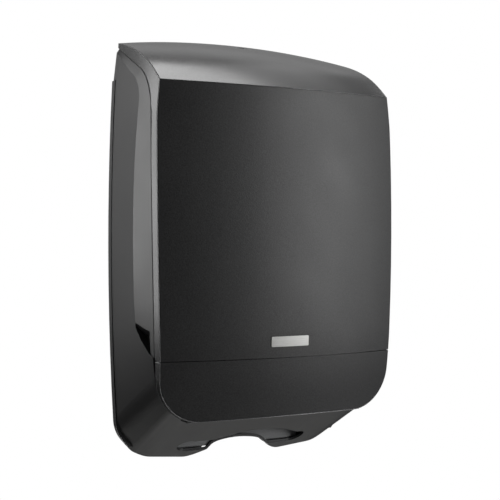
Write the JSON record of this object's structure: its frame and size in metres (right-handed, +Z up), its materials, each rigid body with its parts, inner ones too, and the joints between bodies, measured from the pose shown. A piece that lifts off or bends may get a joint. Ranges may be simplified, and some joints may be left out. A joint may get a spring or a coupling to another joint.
{
  "type": "folded towel dispenser",
  "caption": "Wall-mounted dispenser for folded paper hand towels, with a hinged lockable front cover and an outlet slot in its sloping underside.",
  "frame": {"origin": "centre of the four wall screws, on the wall plane", "axes": "+X to the right for someone facing the dispenser, +Y into the wall, +Z up"},
  "size_m": [0.2902, 0.137, 0.4569],
  "materials": {
    "satin_black": "satin moulded ABS",
    "speckled_black": "matte, finely speckled grain",
    "badge_grey": "light satin, bare",
    "tray_grey": "dark grey moulded plastic",
    "zinc_steel": "zinc plated",
    "pin_steel": "bright drawn",
    "lock_chrome": "satin chrome"
  },
  "bodies": {
    "housing": {"back_plate": "satin_black", "housing_shell": "satin_black", "towel_tray": "tray_grey", "towel_guide_left": "tray_grey", "towel_guide_right": "tray_grey", "strike": "zinc_steel", "hinge_pin_left": "pin_steel", "hinge_pin_right": "pin_steel", "housing_screws": "zinc_steel", "tray_screws": "zinc_steel", "towel_guide_screws": "zinc_steel", "strike_screws": "zinc_steel"},
    "cover": {"door_frame": "satin_black", "top_cap": "satin_black", "front_panel": "speckled_black", "lower_panel": "speckled_black", "badge_plate": "badge_grey", "lock_housing": "satin_black", "lock_nut": "zinc_steel", "latch_guide": "zinc_steel"},
    "lock": {"lock_barrel": "lock_chrome", "lock_cam": "zinc_steel", "cam_screw": "zinc_steel"},
    "latch": {"latch_bolt": "zinc_steel"}
  },
  "joints": [
    {"name": "cover_hinge", "type": "hinge", "parent": "housing", "child": "cover", "pos_m": [0, -0.098, -0.1685], "axis": [1, 0, 0], "range_deg": [0, 90]},
    {"name": "lock_turn", "type": "hinge", "parent": "cover", "child": "lock", "pos_m": [0, -0.024, 0.2], "axis": [0, 0, 1], "range_deg": [0, 90]},
    {"name": "latch_slide", "type": "slide", "parent": "cover", "child": "latch", "axis": [1, 0, 0], "range_m": [0, 0.00778]}
  ],
  "couplings": [
    {"joint": "lock_turn", "follows": "latch_slide", "rad_per_m": 201.93}
  ]
}
